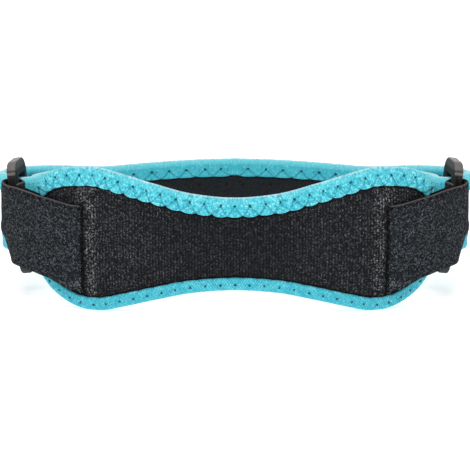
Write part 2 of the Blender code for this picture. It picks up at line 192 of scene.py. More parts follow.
def cloth(name, columns, rows, shape):
    """A piece of cloth from a flat grid. shape gets each point's column and row and gives its
    place in millimetres, its threads (along, across), and any named measures to keep."""
    bpy.ops.object.select_all(action="DESELECT")
    bpy.ops.mesh.primitive_grid_add(x_subdivisions=columns, y_subdivisions=rows, size=2)
    piece = bpy.context.object
    piece.name = piece.data.name = name
    mesh = piece.data
    flat = np.empty(len(mesh.vertices) * 3)
    mesh.vertices.foreach_get("co", flat)
    flat = flat.reshape(-1, 3)
    column = np.rint((flat[:, 0] + 1) / 2 * columns).astype(int)
    row = np.rint((flat[:, 1] + 1) / 2 * rows).astype(int)
    places, threads, measures = shape(column, row)
    mesh.vertices.foreach_set("co", (places * MM).ravel())
    corners = np.empty(len(mesh.loops), int)
    mesh.loops.foreach_get("vertex_index", corners)
    mesh.uv_layers.remove(mesh.uv_layers[0])
    for layer, values in threads.items():
        mesh.uv_layers.new(name=layer).data.foreach_set("uv", values[corners].ravel())
    for key, values in measures.items():
        mesh.attributes.new(key, "FLOAT", "POINT").data.foreach_set("value", values)
    bpy.ops.object.mode_set(mode="EDIT")
    bpy.ops.mesh.select_all(action="SELECT")
    bpy.ops.mesh.remove_doubles(threshold=0.00001)
    bpy.ops.mesh.dissolve_degenerate(threshold=0.000005)
    end_editing()
    bpy.ops.object.shade_smooth()
    return piece


def lumps(points, size, seed):
    """Smooth random relief from -1 to 1, its lumps about size millimetres across."""
    shift = Vector((seed * 17.3, seed * 5.1, seed * 9.7))
    return np.array([noise.noise(Vector(p) / size + shift) for p in points])


front = Plan(oval_quarter(FRONT_HALF_WIDTH, FRONT_DEPTH, 0.0, FRONT_SQUARENESS) * (1.0, -1.0), 1.0)
pad_rows = PAD_OUTLINE * (PAD_HALF_LENGTH, PAD_HEIGHT)
pad_rows = np.vstack([pad_rows[1] * (-1, 1), pad_rows, pad_rows[-2] * (-1, 1)])
pad_edge = Edge(whole_edge(through(pad_rows, 16)))

PAD_INSET = 1.3
INSIDE_SHIFT = 200.0


class Faces:
    """The grid of a cut cloth: its rows go up the outer face and back down the inner one."""

    def __init__(self, edge, inset, samples, columns, face_rows, back_rows):
        around = np.linspace(0.0, edge.length, samples)
        along, height = edge.at(around, inset)
        end = int(np.argmax(along))
        under = slice(int(np.argmin(np.abs(around - edge.length / 2))), end, -1)
        self.end = along[end]
        self.top = along[: end + 1], height[: end + 1]
        self.low = along[under], height[under]
        self.columns, self.face_rows, self.back_rows = columns, face_rows, back_rows
        self.rows = face_rows + back_rows + 2

    def at(self, column, row):
        """Flat places, their shares of the cloth's height, and which are on the outer face."""
        along = self.end * (2 * column / self.columns - 1)
        top = np.interp(np.abs(along), *self.top)
        low = np.interp(np.abs(along), *self.low)
        last = row == self.rows
        outside = (row <= self.face_rows) | last
        up = np.where(outside, row / self.face_rows, 1 - (row - self.face_rows - 1) / self.back_rows)
        up = np.where(last, 0.0, up)
        return along, low + (top - low) * up, up, outside


pad_faces = Faces(pad_edge, PAD_INSET, samples=4001, columns=600, face_rows=56, back_rows=30)


def pad_shape(column, row):
    along, height, _, outside = pad_faces.at(column, row)
    inset = np.full(len(along), 1e9)
    bound = np.full(len(along), FRONT_LOW_WIDTH)
    for place, inwards in zip(pad_edge.points[::12], pad_edge.inwards[::12]):
        away = np.hypot(along - place[0], height - place[1])
        width = FRONT_TOP_WIDTH if inwards[1] < 0 else FRONT_LOW_WIDTH
        bound = np.where(away < inset, width, bound)
        inset = np.minimum(inset, away)
    flat = np.stack([along, height, 0 * along], -1)
    free = ease((inset - 8) / 10)
    off = pad_half(inset) + 0.22 * free * lumps(flat, 16.0, 1)
    off += 0.08 * free * lumps(flat, 5.0, 2)
    off += RIB_DEPTH * 0.5 * np.cos(2 * math.pi * along / RIB_PITCH) * ease((inset - 2) / 3)
    side = np.where(outside, 1.0, -1.0)
    places = front.wrap(along, height, side * off)
    threads = np.stack([along, height + np.where(outside, 0.0, INSIDE_SHIFT)], -1)
    return places, {"threads": threads}, {"beyond_binding": inset - bound}


padded_front = cloth("padded_front", pad_faces.columns, pad_faces.rows, pad_shape)


class Tone:
    """A value in a finish. Sums and products of tones add the Math nodes that work them out."""

    def __init__(self, finish, socket):
        self.finish = finish
        self.socket = socket

    def maths(self, operation, *values):
        return self.finish.maths(operation, self, *values)

    def __add__(self, other):
        return self.maths("ADD", other)

    def __radd__(self, other):
        return self.finish.maths("ADD", other, self)

    def __sub__(self, other):
        return self.maths("SUBTRACT", other)

    def __rsub__(self, other):
        return self.finish.maths("SUBTRACT", other, self)

    def __mul__(self, other):
        return self.maths("MULTIPLY", other)

    def __rmul__(self, other):
        return self.finish.maths("MULTIPLY", other, self)

    def __pow__(self, other):
        return self.maths("POWER", other)


class Finish:
    """A procedural finish for one kind of surface."""

    def __init__(self, name, roughness, **constants):
        self.material = bpy.data.materials.new(name)
        self.material.use_nodes = True
        self.tree = self.material.node_tree
        self.shader = self.tree.nodes["Principled BSDF"]
        self.shader.inputs["Roughness"].default_value = roughness
        for key, value in constants.items():
            self.shader.inputs[key.replace("_", " ")].default_value = value

    def node(self, kind, settings, values, output=0):
        made = self.tree.nodes.new(kind)
        for key, value in settings.items():
            setattr(made, key, value)
        for key, value in values.items():
            self.give(made.inputs[key], value)
        return Tone(self, made.outputs[output])

    def give(self, socket, value):
        if isinstance(value, Tone):
            self.tree.links.new(value.socket, socket)
        else:
            socket.default_value = value

    def maths(self, operation, *values):
        return self.node("ShaderNodeMath", {"operation": operation}, dict(enumerate(values)))

    def mix(self, share, first, second):
        return self.node("ShaderNodeMix", {"data_type": "RGBA"}, {0: share, 6: first, 7: second}, 2)

    def between(self, value, low, high, start=0.0, end=1.0):
        """value taken from low..high to start..end, smoothly and held at both ends."""
        settings = {"interpolation_type": "SMOOTHSTEP"}
        return self.node("ShaderNodeMapRange", settings, {0: value, 1: low, 2: high, 3: start, 4: end})

    def measure(self, name, output=2):
        """A measure kept on the mesh: output 2 is a number, and 1 a vector."""
        return self.node("ShaderNodeAttribute", {"attribute_name": name}, {}, output)

    def part(self, vector, index):
        """One coordinate of a vector."""
        return self.node("ShaderNodeSeparateXYZ", {}, {0: vector}, index)

    def threads(self, layer):
        """The two coordinates of a thread layer, in millimetres, and the layer as a vector."""
        place = self.node("ShaderNodeUVMap", {"uv_map": layer}, {})
        return self.part(place, 0), self.part(place, 1), place

    def stretched(self, place, stretch):
        return self.node("ShaderNodeVectorMath", {"operation": "MULTIPLY"}, {0: place, 1: stretch})

    def grain(self, place, size, detail=2.0, rough=0.5, stretch=(1.0, 1.0, 1.0)):
        """Random grain from 0 to 1 in cells of about size."""
        values = {"Vector": self.stretched(place, stretch), "Scale": 1 / size,
                  "Detail": detail, "Roughness": rough}
        return self.node("ShaderNodeTexNoise", {}, values)

    def cells(self, place, size, loose=1.0, stretch=(1.0, 1.0, 1.0)):
        """Random cells of about size: each one's own value, and how near a point is to its middle."""
        values = {"Vector": self.stretched(place, stretch), "Scale": 1 / size, "Randomness": loose}
        colour = self.node("ShaderNodeTexVoronoi", {"voronoi_dimensions": "2D"}, values, 1)
        distance = Tone(self, colour.socket.node.outputs[0])
        value = self.node("ShaderNodeSeparateColor", {}, {0: colour}, 0)
        return value, 1 - self.between(distance, 0.15, 0.62)

    def wear(self, colour, height, depth, roughness=None):
        """Gives the finish its colour, and relief as deep as depth millimetres."""
        self.give(self.shader.inputs["Base Color"], colour)
        bump = {"Height": height, "Distance": depth * MM, "Strength": 1.0}
        self.give(self.shader.inputs["Normal"], self.node("ShaderNodeBump", {}, bump))
        if roughness is not None:
            self.give(self.shader.inputs["Roughness"], roughness)


def knit_finish(name):
    """Black ribbed knit, speckled with pale fibres. Painted light makes the specks stronger away from the
    pad's middle and strongest in a band near the strap's free end, and painted shade darkens the knit beside
    the strap's free end and beside the binding."""
    finish = Finish(name, 0.92, Specular_IOR_Level=0.12)
    along, across, place = finish.threads("threads")
    wale = finish.maths("COSINE", along * (2 * math.pi / RIB_PITCH)) * 0.5 + 0.5
    value, middle = finish.cells(place, 0.62, 0.9, (1.0, 0.95, 1.0))
    fine_value, _ = finish.cells(place, 0.5)
    patch = finish.grain(place, 9.0)
    beyond = finish.measure("beyond_binding")
    from_middle = finish.maths("ABSOLUTE", along)
    # Painted light: the specks grow stronger from the middle outwards and most in a band near the strap's
    # free end, which leaves the middle darker.
    painted_light_patch = finish.between(from_middle, 56.5, 60.5) * finish.between(from_middle, 69.0, 66.0)
    painted_light_outwards = finish.between(from_middle, 10.0, 50.0)
    outside = finish.between(across, 120.0, 100.0)
    speck = value ** 5 * middle * 0.7 + fine_value ** 6 * 0.85
    strength = 0.075 + painted_light_outwards * outside * 0.07 + painted_light_patch * outside * 0.25
    strength = strength * (0.6 + patch * 0.8) * (0.55 + wale * 0.9)
    ground = finish.mix(fine_value * wale, (0.005, 0.006, 0.008, 1.0), (0.014, 0.0165, 0.020, 1.0))
    tone = finish.mix(speck * strength, ground, (0.66, 0.66, 0.68, 1.0))
    # Painted shade: a thin dark line on the knit along the binding's inner edge.
    tone = finish.mix(finish.between(beyond, 1.3, 0.2) * 0.85, tone, (0.002, 0.0025, 0.003, 1.0))
    # Painted shadow: a thin dark line on the knit beside the strap's free end.
    beside = finish.between(from_middle, STRAP_END_RUN + 1.5, STRAP_END_RUN - 0.1)
    beside = beside * finish.between(across, STRAP_END_TOP, STRAP_END_TOP - 1.5)
    beside = beside * finish.between(from_middle, STRAP_END_RUN - 2.2, STRAP_END_RUN - 0.6)
    tone = finish.mix(beside * 0.85, tone, (0.002, 0.0022, 0.0025, 1.0))
    finish.wear(tone, wale * 0.3 + speck * 0.8 + value * middle * 0.5, 0.4)
    return finish.material


pad_knit = knit_finish("pad_knit")
padded_front.data.materials.append(pad_knit)
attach(padded_front, "root")
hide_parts("front_pad")


# The front binding: turquoise stretch knit, folded over the pad's cut edge and caught down
# by a zigzag seam. Each stitch pulls in a dimple, and the edge bulges between the stitches.
BINDING_WALL = 1.0
BINDING_GAP = 0.3
NOSE_DEPTH = 2.0
FRONT_STITCH = 6.15
CREASE_SPAN = 6.0
THREAD_RADIUS = 0.12


class Seam:
    """A zigzag seam along a binding: the places of its stitches, mirrored from side to side.
    pitch is the way between two stitches, and start the first one's place in pitches."""

    def __init__(self, edge, pitch, start, seed):
        self.edge = edge
        half = edge.length / 2
        steps = round(half / pitch - start)
        self.pitch = half / (steps + start)
        right = (np.arange(steps + 1) + start) * self.pitch
        left = edge.length - right[(right > 0.1) & (right < half - 0.1)]
        chance = np.random.default_rng(seed)
        self.runs = np.sort(np.concatenate([right, left]))
        self.runs += chance.normal(0, 0.03 * self.pitch, len(self.runs))
        self.lift = chance.uniform(0.7, 1.3, len(self.runs))
        self.depth = chance.uniform(0.8, 1.2, len(self.runs))
        before, after = self.runs[-1] - edge.length, self.runs[0] + edge.length
        self.around = np.concatenate([[before], self.runs, [after]])

    def phase(self, run):
        """The nearest stitch, how far from it in pitches, and its place in the seam."""
        place = np.searchsorted((self.around[1:] + self.around[:-1]) / 2, run)
        away = (run - self.around[place]) / self.pitch
        return (place - 1) % len(self.runs), np.clip(away, -0.5, 0.5), place

    def upper(self, run):
        """1 on the top edge, 0 on the bottom one."""
        return (1 - self.edge.normal(run)[1]) / 2


class Binding:
    """The sizes of a bound edge: its width, stitches and relief at each run. A pair of sizes
    gives the one on the top edge and the one on the bottom edge."""

    def __init__(self, edge, plan, half, seam, widths, scallops, dots, depths, gap):
        self.edge, self.plan, self.half, self.seam = edge, plan, half, seam
        self.widths, self.scallops, self.dots = widths, scallops, dots
        self.depths, self.gap = depths, gap

    def blend(self, run, pair):
        upper = ease(self.seam.upper(run) * 1.6 - 0.3)
        return pair[1] + (pair[0] - pair[1]) * upper

    def width(self, run):
        number, phase, _ = self.seam.phase(run)
        along = np.abs(self.edge.at(run, 0.0)[0])
        swell = self.blend(run, self.scallops) * self.seam.lift[number]
        swell = swell * (1 - 0.6 * ease((along - 48) / 14))
        bulge = np.sqrt(np.clip(1 - (2 * phase) ** 2, 0, 1))
        return self.blend(run, self.widths) + swell * (bulge - 0.6)

    def dot(self, run):
        return self.blend(run, self.widths) * self.blend(run, self.dots)

    def relief(self, run, inset, width):
        """How far the cloth stands off the body under it."""
        number, phase, _ = self.seam.phase(run)
        dot = self.dot(run)
        half_pitch = self.seam.pitch / 2
        crease = dot + (width - dot) * np.clip(np.abs(phase) * 2, 0, 1) ** 0.9
        slant = half_pitch / np.hypot(half_pitch, width - dot)
        off_crease = np.where(inset > dot, np.abs(inset - crease) * slant, 9.0)
        off_dot = np.hypot(phase * self.seam.pitch, inset - dot)
        near = np.minimum(off_crease, off_dot)
        deep = self.seam.depth[number] * self.blend(run, self.depths)
        crease_dip = np.exp(-((near / 0.55) ** 2))
        puff = 1 - np.exp(-((near / 1.5) ** 2))
        pit = np.exp(-((off_dot / 0.65) ** 2))
        fade = ease((inset - 1.2) / 1.5)
        height = self.gap + BINDING_WALL + fade * deep * (0.34 * puff - 0.4 * crease_dip - 0.4 * pit)
        turn = np.clip((width - inset) / 1.0, 0, 1)
        return 0.12 + (height - 0.12) * np.sqrt(np.clip(1 - (1 - turn) ** 2, 0, 1))

    def place(self, run, inset, side, raised=0.0):
        """A point on the outside of the binding, in millimetres."""
        along, height = self.edge.at(run, inset)
        off = self.half(inset) + self.relief(run, inset, self.width(run)) + raised
        return self.plan.wrap(along, height, side * off)


def bound_edge(name, binding, step, leg_rows, nose_rows):
    """The binding's mesh: down one face, round the edge, up the other, and back inside."""
    columns = int(binding.edge.length / step)
    leg = np.arange(leg_rows) / leg_rows
    nose = np.arange(nose_rows + 1) / nose_rows * math.pi / 2
    faces = [("leg", share, 1.0) for share in leg]
    faces += [("nose", angle, 1.0) for angle in nose]
    faces += [("nose", angle, -1.0) for angle in nose[-2::-1]]
    faces += [("leg", share, -1.0) for share in leg[::-1]]
    under = [("under", share, -1.0) for share in (0.0, 0.5, 1.0)]
    under += [("under", share, 1.0) for share in (1.0, 0.5, 0.0)]
    order = faces + under

    def shape(column, row):
        run = column * binding.edge.length / columns
        width = binding.width(run)
        row = row % len(order)
        kind = np.array([entry[0] for entry in order])[row]
        share = np.array([entry[1] for entry in order])[row]
        side = np.array([entry[2] for entry in order])[row]
        inset = width + (NOSE_DEPTH - width) * share
        inset = np.where(kind == "nose", NOSE_DEPTH * (1 - np.sin(share)), inset)
        inset = np.where(kind == "under", width + (BINDING_WALL - width) * share - 0.25 * (1 - share), inset)
        relief = binding.relief(run, np.maximum(inset, 0), width)
        stand = binding.half(inset) + relief
        shoulder = binding.half(NOSE_DEPTH) + binding.gap + BINDING_WALL
        stand = np.where(kind == "nose", shoulder * np.cos(share), stand)
        stand = np.where(kind == "under", binding.half(inset) + 0.1, stand)
        along, height = binding.edge.at(run, inset)
        flat = np.stack([along, height, side * stand], -1)
        skin = np.where(kind == "under", 0.0, 1.0)
        rough = 0.05 * lumps(flat, 2.6, 3) + 0.05 * lumps(flat, 1.2, 8)
        stand = stand + skin * rough * np.where(kind == "nose", np.cos(share), 1.0)
        places = binding.plan.wrap(along, height, side * stand)
        places[:, 2] = np.maximum(places[:, 2], 0.0)
        _, phase, whole = binding.seam.phase(run)
        stitch = np.stack([whole + phase, inset - binding.dot(run)], -1)
        threads = np.stack([np.abs(run - binding.edge.length / 2), inset * side], -1)
        reach = (inset - binding.dot(run)) / (width - binding.dot(run))
        measures = {"reach": reach, "upper": binding.seam.upper(run), "inset": inset}
        return places, {"threads": threads, "stitch": stitch}, measures

    return cloth(name, columns, len(order), shape)


def thread_tubes(name, paths, radius, sides=6):
    """Threads as thin tubes, closed at both ends. paths is (threads, points, 3) in millimetres."""
    count, steps, _ = paths.shape
    along = np.gradient(paths, axis=1)
    along /= np.linalg.norm(along, axis=2, keepdims=True) + 1e-9
    out = np.cross(along, (0.13, 0.21, 0.97))
    out /= np.linalg.norm(out, axis=2, keepdims=True) + 1e-9
    up = np.cross(along, out)
    thick = np.full(steps, radius)
    thick[0] = thick[-1] = radius * 0.15
    angle = np.arange(sides) * 2 * math.pi / sides
    ring = out[:, :, None] * np.cos(angle)[:, None] + up[:, :, None] * np.sin(angle)[:, None]
    places = paths[:, :, None] + ring * thick[:, None, None]
    faces = []
    for t in range(count):
        base = t * steps * sides
        for i in range(steps - 1):
            for k in range(sides):
                a, b = base + i * sides + k, base + i * sides + (k + 1) % sides
                faces.append((a, b, b + sides, a + sides))
        faces.append(tuple(base + k for k in range(sides))[::-1])
        faces.append(tuple(base + (steps - 1) * sides + k for k in range(sides)))
    mesh = bpy.data.meshes.new(name)
    mesh.from_pydata((places * MM).reshape(-1, 3).tolist(), [], faces)
    piece = bpy.data.objects.new(name, mesh)
    bpy.context.scene.collection.objects.link(piece)
    bpy.ops.object.select_all(action="DESELECT")
    bpy.context.view_layer.objects.active = piece
    piece.select_set(True)
    bpy.ops.object.mode_set(mode="EDIT")
    end_editing()
    bpy.ops.object.shade_smooth()
    return piece


def zigzag(binding, sides, steps=8):
    """The seam's threads: from each needle hole to the two notches beside it."""
    seam = binding.seam
    paths = []
    for side in sides:
        for middle in seam.runs:
            for way in (-0.5, 0.5):
                foot = middle + way * seam.pitch
                reach = binding.blend(np.array([middle]), (1.0, 0.3))[0]
                share = np.linspace(0.0, reach, steps)
                run = (middle + (foot - middle) * share) % binding.edge.length
                low = binding.dot(run)
                notch = (middle + 0.98 * (foot - middle)) % binding.edge.length
                width = binding.width(np.full(steps, notch))
                inset = low + (width + 0.35 - low) * share ** 0.95
                raised = np.where(share < 0.08, -0.35, -0.03)
                raised[-1] = -0.4
                paths.append(binding.place(run, inset, side, raised))
    return np.array(paths)


def binding_finish(name, base, deep, pale, contrast, top_fold_light):
    """Turquoise knit: short pale and dark loops above, slanting ribs below, painted shade in the needle
    holes, in the creases and on the lower edge, and a thin whitish painted highlight along the top fold.
    contrast is that of the loops, and the last argument how much painted light pales the knit near the top
    fold."""
    finish = Finish(name, 0.8, Specular_IOR_Level=0.25, Sheen_Weight=0.12, Sheen_Roughness=0.4)
    along, across, place = finish.threads("threads")
    stitch, drop, _ = finish.threads("stitch")
    reach = finish.measure("reach")
    upper = finish.measure("upper")
    inset = finish.measure("inset")
    rib = finish.maths("SINE", (along * 0.9 - across * 0.5) * (2 * math.pi / 0.95)) * 0.5 + 0.5
    value, middle = finish.cells(place, 0.8, 1.0, (1.25, 0.75, 1.0))
    fine_value, _ = finish.cells(place, 0.5)
    cloudy = finish.grain(place, 5.0)
    loops = (value * 0.5 + fine_value * 0.5 - 0.5) * contrast + 0.5
    ribbed = (1 - upper) * (1 - finish.between(cloudy, 0.5, 0.7) * 0.6)
    weave = loops + (rib * 0.45 + loops * 0.6 - 0.03 - loops) * ribbed
    aside = (finish.maths("FRACT", stitch + 0.5) - 0.5) * CREASE_SPAN
    from_hole = finish.maths("SQRT", aside * aside + drop * drop * 0.8)
    to_side = finish.maths("ABSOLUTE", aside)
    off_crease = finish.maths("ABSOLUTE", to_side - reach * (CREASE_SPAN / 2)) * 0.8
    crease = finish.between(off_crease + (fine_value - 0.5) * 0.3, 0.5, 0.1)
    crease = crease * finish.between(reach, 0.0, 0.12)
    hole = 1 - finish.between(from_hole + (fine_value - 0.5) * 0.25, 0.3, 0.72)
    tone = finish.mix(finish.between(weave, 0.48, 0.95) * (0.4 + middle * 0.6), base, pale)
    tone = finish.mix(finish.between(weave, 0.42, 0.08) * 0.75, tone, deep)
    tone = finish.mix(finish.between(cloudy, 0.4, 0.7) * 0.25, tone, base)
    # Painted shade in the creases, stronger on the top edge.
    tone = finish.mix(crease * (0.1 + upper * 0.6), tone, deep)
    # Painted shade: the lower edge is made darker, as it faces away from the light.
    tone = finish.mix((1 - upper) * 0.28, tone, deep)
    # Painted light: the knit near the top fold is made paler, as the fold faces the light.
    tone = finish.mix(finish.between(inset, 2.6, 1.6) * upper * top_fold_light, tone, pale)
    # Painted highlight: a thin whitish line along the top fold.
    rim_highlight = finish.between(inset, 0.45, 0.1) * finish.between(upper, 0.75, 0.95)
    tone = finish.mix(rim_highlight * (0.1 + fine_value * 0.5), tone, (0.80, 0.78, 0.84, 1.0))
    # Painted shade: each needle hole is made dark teal, as the shade inside the hole.
    tone = finish.mix(hole * 0.95, tone, (0.004, 0.05, 0.085, 1.0))
    finish.wear(tone, weave * 0.8 + middle * 0.3 - hole * 0.8, 0.22)
    return finish.material


front_binding_sizes = Binding(
    pad_edge, front, pad_half, Seam(pad_edge, FRONT_STITCH, 0.0, 4),
    widths=(FRONT_TOP_WIDTH, FRONT_LOW_WIDTH), scallops=(1.05, 0.3), dots=(0.42, 0.49),
    depths=(1.0, 0.3), gap=BINDING_GAP,
)
TURQUOISE = (0.062, 0.56, 0.68, 1.0)
TURQUOISE_DEEP = (0.014, 0.24, 0.35, 1.0)
TURQUOISE_PALE = (0.33, 0.90, 0.95, 1.0)
turquoise_knit = binding_finish("turquoise_knit", TURQUOISE, TURQUOISE_DEEP, TURQUOISE_PALE, 1.25, 0.12)
front_edge_binding = bound_edge("front_edge_binding", front_binding_sizes, 0.55, 22, 8)
front_edge_binding.data.materials.append(turquoise_knit)
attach(front_edge_binding, "root")
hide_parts("front_binding")

front_seam = thread_tubes("front_edge_stitching", zigzag(front_binding_sizes, (1.0, -1.0)), THREAD_RADIUS)
turquoise_thread = Finish("turquoise_thread", 0.6, Specular_IOR_Level=0.35)
thread_place = turquoise_thread.node("ShaderNodeTexCoord", {}, {}, 3)
thread_grain = turquoise_thread.grain(thread_place, 0.4 * MM, 2.0, 0.6)
thread_tone = turquoise_thread.mix(thread_grain * 0.4 + 0.6, TURQUOISE_DEEP, TURQUOISE)
turquoise_thread.wear(thread_tone, thread_grain, 0.05)
front_seam.data.materials.append(turquoise_thread.material)
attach(front_seam, "root")


# The back band: thin foam rubber with a smooth black knit on both faces. Each end runs round
# a ring's rear bar and is folded back along the inside of the band.
BACK_OUTSIDE_RING = 8.8
BACK_BEHIND_RING = 14.2
BACK_DEPTH = 29.0
BACK_SQUARENESS = 2.3
BAND_HEIGHT = 51.8
BAND_THICKNESS = 2.4
BAND_FOLD_BACK = 25.0
BAND_FOLD_DROP = 1.6
BAND_TAIL_RADIUS = 24.0
BAND_END_CORNER = 10.5
BAND_NEAR_RING = 0.8
BAND_EASE = 0.45
BAND_WRAP = (-10.0, -180.0)
BAR_EASE = 0.4
BAR_CLEAR = math.sqrt(2) * (RING_BAR / 2 - RING_BAR_CORNER) + RING_BAR_CORNER + BAR_EASE
SLOT_HEIGHT = 37.1
SLOT_SEAT = 0.95
SLOT_CLOTH = 34.9
LINK_PULL = 0.42
LINK_POINTS = 23
ARC_POINTS = 61
BAND_EDGES = np.array([
    # along, top, bottom: shares of the run to the ring and of the band's height
    (0.00, 1.000, 0.000), (0.15, 0.990, 0.000), (0.32, 0.968, 0.020), (0.50, 0.944, 0.090),
    (0.68, 0.972, 0.180), (0.84, 0.990, 0.235), (1.00, 1.005, 0.281),
])


def smooth_table(share, table, column):
    """A column of a table on a smooth line between its rows."""
    x, y = table[:, 0], table[:, column]
    slope = np.empty(len(x))
    slope[1:-1] = (y[2:] - y[:-2]) / (x[2:] - x[:-2])
    slope[0], slope[-1] = (y[1] - y[0]) / (x[1] - x[0]), (y[-1] - y[-2]) / (x[-1] - x[-2])
    share = np.clip(share, x[0], x[-1])
    i = np.clip(np.searchsorted(x, share, "right") - 1, 0, len(x) - 2)
    span = x[i + 1] - x[i]
    t = (share - x[i]) / span
    return (y[i] * (1 + 2 * t) * (1 - t) ** 2 + y[i + 1] * t * t * (3 - 2 * t)
            + span * (slope[i] * t * (1 - t) ** 2 - slope[i + 1] * t * t * (1 - t)))


def bar_place(which):
    """Plan place of a ring's front (-1) or rear (+1) bar."""
    reach = which * (RING_DEPTH - RING_BAR) / 2
    return np.array([RING_X - reach * math.sin(RING_YAW), RING_Y + reach * math.cos(RING_YAW)])


def arc(middle, radius, first, last):
    angle = np.radians(np.linspace(first, last, ARC_POINTS))
    return middle + radius * np.stack([np.cos(angle), np.sin(angle)], -1)


def joined(*stretches):
    """Stretches of a line end to end, with a smooth link across each gap."""
    line = list(stretches[0])
    for following in stretches[1:]:
        a, b = line[-1], following[0]
        pull = np.linalg.norm(b - a) * LINK_PULL
        after = a + (a - line[-2]) / np.linalg.norm(a - line[-2]) * pull
        before = b - (following[1] - b) / np.linalg.norm(following[1] - b) * pull
        for t in np.arange(1, LINK_POINTS + 1) / (LINK_POINTS + 1):
            line.append(a * (1 - t) ** 3 + after * 3 * t * (1 - t) ** 2
                        + before * 3 * t * t * (1 - t) + b * t**3)
        line += list(following)
    return np.array(line)


def band_half(inset):
    return BAND_THICKNESS / 2 + 0 * inset


back_main = oval_quarter(RING_X + BACK_OUTSIDE_RING, BACK_DEPTH, RING_Y + BACK_BEHIND_RING, BACK_SQUARENESS)
rear_bar = bar_place(1)
wrap_radius = BAR_CLEAR + BAND_THICKNESS / 2 + BAND_EASE + BINDING_WALL
rear_wrap = arc(rear_bar, wrap_radius, *BAND_WRAP)
tail_middle = rear_bar - (wrap_radius + BAND_TAIL_RADIUS, 0.0)
tail = arc(tail_middle, BAND_TAIL_RADIUS, 0.0, math.degrees(BAND_FOLD_BACK / BAND_TAIL_RADIUS))
back = Plan(np.vstack([joined(back_main, rear_wrap), tail[1:]]), -1.0)
band_run = back.run[len(back_main) + LINK_POINTS - 1]
slot_low = RING_Z - SLOT_HEIGHT / 2 + SLOT_SEAT


def band_heights(run):
    """The heights of the band's top and bottom edges, which come to the ring's slot."""
    share = run / band_run
    fold = np.clip((run - band_run) / (back.length - band_run), 0, 1)
    top = smooth_table(share, BAND_EDGES, 1) * BAND_HEIGHT
    low = smooth_table(share, BAND_EDGES, 2) * BAND_HEIGHT
    near_ring = ease((share - BAND_NEAR_RING) / (1 - BAND_NEAR_RING))
    top = top + (slot_low + SLOT_CLOTH - top) * near_ring
    low = low + (slot_low - low) * near_ring
    return top - BAND_FOLD_DROP * fold, low


def band_cut():
    """The right half of the band's edge, from the top's middle."""
    straight = np.linspace(0.0, back.length - BAND_END_CORNER, 260)
    top, low = band_heights(straight)
    turn = np.radians(np.linspace(0, 90, 16))[1:]
    past = back.length - BAND_END_CORNER + BAND_END_CORNER * np.sin(turn)
    drop = BAND_END_CORNER * (1 - np.cos(turn))
    end_top, end_low = band_heights(past)
    upper = np.stack([np.append(straight, past), np.append(top, end_top - drop)], -1)
    lower = np.stack([np.append(straight, past), np.append(low, end_low + drop)], -1)
    return np.vstack([upper, lower[::-1]])


band_edge = Edge(whole_edge(band_cut()))
MARKS_MIDDLE = 10.1
MARKS_APART = 12.8
MARKS_HEIGHT = 39.5
band_inset = BINDING_WALL + BAND_EASE
band_faces = Faces(band_edge, band_inset, samples=6001, columns=620, face_rows=40, back_rows=40)


def band_shape(column, row):
    along, height, up, outside = band_faces.at(column, row)
    side = np.where(outside, 1.0, -1.0)
    flat = np.stack([along, height, 0 * along], -1)
    middle = ease(np.minimum(up, 1 - up) * 5 - 1)
    off = BAND_THICKNESS / 2 + 0.18 * middle * lumps(flat, 11.0, 5)
    threads = np.stack([along, height + np.where(outside, 0.0, INSIDE_SHIFT)], -1)
    return back.wrap(along, height, side * off), {"threads": threads}, {}


back_band_cloth = cloth("back_band_cloth", band_faces.columns, band_faces.rows, band_shape)


def band_finish(name):
    """Smooth black knit on foam rubber, with two faint needle marks at each side of the
    middle, high on the inside."""
    finish = Finish(name, 0.88, Specular_IOR_Level=0.25, Sheen_Weight=0.06, Sheen_Roughness=0.4)
    along, across, place = finish.threads("threads")
    value, middle = finish.cells(place, 0.7)
    broad = finish.grain(place, 12.0)
    wale = finish.maths("COSINE", along * (2 * math.pi / 0.9)) * 0.5 + 0.5
    dark, light = (0.0045, 0.006, 0.0075, 1.0), (0.034, 0.039, 0.045, 1.0)
    tone = finish.mix(value * middle * 0.6 + wale * 0.2, dark, light)
    tone = finish.mix(finish.between(broad, 0.4, 0.7) * 0.3, tone, (0.015, 0.017, 0.020, 1.0))
    from_middle = finish.maths("ABSOLUTE", along)
    beside = finish.maths("ABSOLUTE", from_middle - MARKS_MIDDLE) - MARKS_APART / 2
    below = across - (INSIDE_SHIFT + MARKS_HEIGHT)
    mark = 1 - finish.between(finish.maths("SQRT", beside * beside + below * below), 0.35, 0.9)
    tone = finish.mix(mark * 0.85, tone, (0.001, 0.001, 0.001, 1.0))
    finish.wear(tone, value * middle * 0.6 + wale * 0.4 - mark, 0.15)
    return finish.material


back_band_cloth.data.materials.append(band_finish("band_knit"))
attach(back_band_cloth, "root")
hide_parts("back_band")


# The back binding: the same turquoise knit folded over the band's edge, with longer stitches. Its loops show
# less than the front's, and painted light makes it paler towards its top fold.
BACK_BINDING_WIDTH = 8.0
BACK_STITCH = 8.05

back_binding_sizes = Binding(
    band_edge, back, band_half, Seam(band_edge, BACK_STITCH, 0.78, 9),
    widths=(BACK_BINDING_WIDTH, BACK_BINDING_WIDTH), scallops=(0.5, 0.4), dots=(0.55, 0.55),
    depths=(0.6, 0.4), gap=BAND_EASE,
)
back_edge_binding = bound_edge("back_edge_binding", back_binding_sizes, 0.8, 18, 7)
quiet_knit = binding_finish("turquoise_knit_inside", TURQUOISE, TURQUOISE_DEEP, TURQUOISE_PALE, 0.65, 0.3)
back_edge_binding.data.materials.append(quiet_knit)
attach(back_edge_binding, "root")
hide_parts("back_binding")

back_seam = thread_tubes("back_edge_stitching", zigzag(back_binding_sizes, (1.0, -1.0), 10), THREAD_RADIUS)
back_seam.data.materials.append(turquoise_thread.material)
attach(back_seam, "root")


